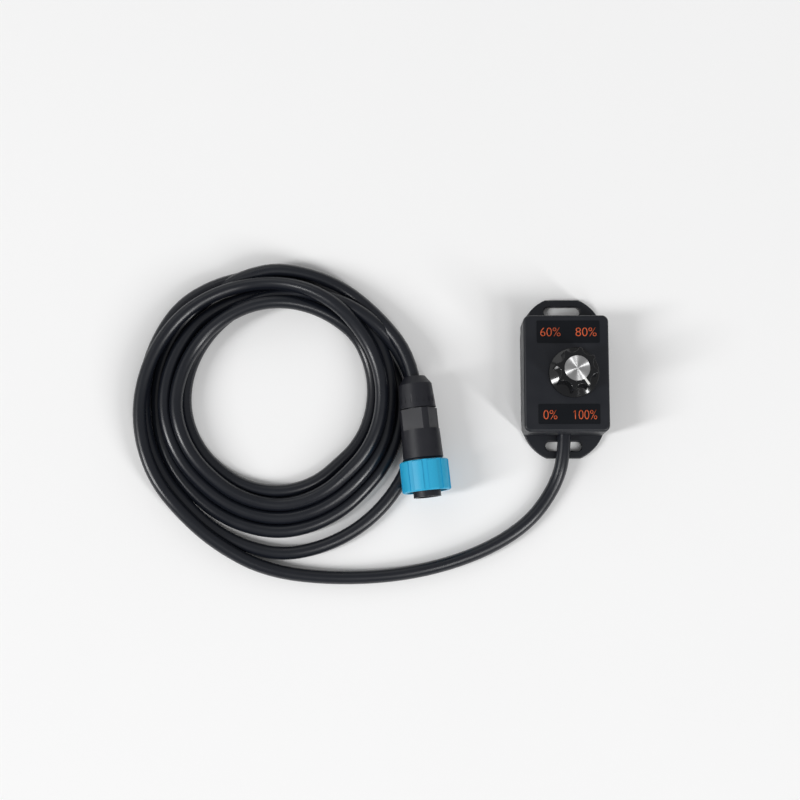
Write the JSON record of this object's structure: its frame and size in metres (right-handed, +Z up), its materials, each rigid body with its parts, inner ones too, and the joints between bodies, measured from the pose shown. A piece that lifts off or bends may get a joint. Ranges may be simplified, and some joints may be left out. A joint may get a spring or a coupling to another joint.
{
  "type": "inline rotary lamp dimmer",
  "caption": "Black wall box with a lobed rotary dimmer knob, slotted fixing ears, a coiled round cord and a plug with a blue coupling ring.",
  "frame": {"origin": "centre of the box's underside", "axes": "+Y towards the ear away from the cord, +Z up out of the cover"},
  "size_m": [0.2336, 0.1571, 0.0389],
  "materials": {
    "case_plastic": "fine satin texture, black moulded plastic",
    "label_film": "dark satin film with orange figures",
    "knob_plastic": "black moulded plastic, glossy",
    "spun_metal": "turned face with circular brushing",
    "cord_jacket": "soft black jacket, satin",
    "plug_plastic": "black nylon, fine texture",
    "ring_plastic": "sky blue nylon, satin",
    "steel": "zinc plated",
    "cast_metal": "die cast, fine grain",
    "brass": "bright",
    "wafer_board": "brown laminate",
    "nylon": "natural nylon",
    "sleeve_rubber": "soft black",
    "core_insulation": "smooth coloured insulation"
  },
  "bodies": {
    "dimmer": {"base_plate": "case_plastic", "cover": "case_plastic", "case_screws": "steel", "label_upper": "label_film", "label_lower": "label_film", "control_bushing": "cast_metal", "control_wafer": "wafer_board", "control_lugs": "brass", "control_can": "steel", "control_washer": "steel", "control_nut": "steel", "cord_lead": "cord_jacket", "cord_tail": "cord_jacket", "cord_coil": "cord_jacket", "cord_tie": "nylon", "case_cores": "core_insulation", "core_sleeves": "sleeve_rubber", "gland_nut": "plug_plastic", "gland_bush": "sleeve_rubber", "plug_body": "plug_plastic", "coupling_clip": "steel", "plug_insert": "plug_plastic", "plug_pins": "brass", "plug_seal": "sleeve_rubber", "plug_cores": "core_insulation"},
    "knob": {"knob_body": "knob_plastic", "knob_cap": "spun_metal", "knob_bush": "brass", "knob_set_screw": "steel", "control_shaft": "cast_metal", "control_rotor": "nylon", "control_wiper": "brass"},
    "coupling": {"coupling_ring": "ring_plastic"}
  },
  "joints": [
    {"name": "knob_turn", "type": "hinge", "parent": "dimmer", "child": "knob", "pos_m": [0.0034, 0, 0.0226], "axis": [0, 0, 1], "range_deg": [0, 284]},
    {"name": "coupling_turn", "type": "hinge", "parent": "dimmer", "child": "coupling", "pos_m": [-0.06938, -0.04197, 0.016], "axis": [0.1045, -0.9945, 0], "continuous": true}
  ]
}
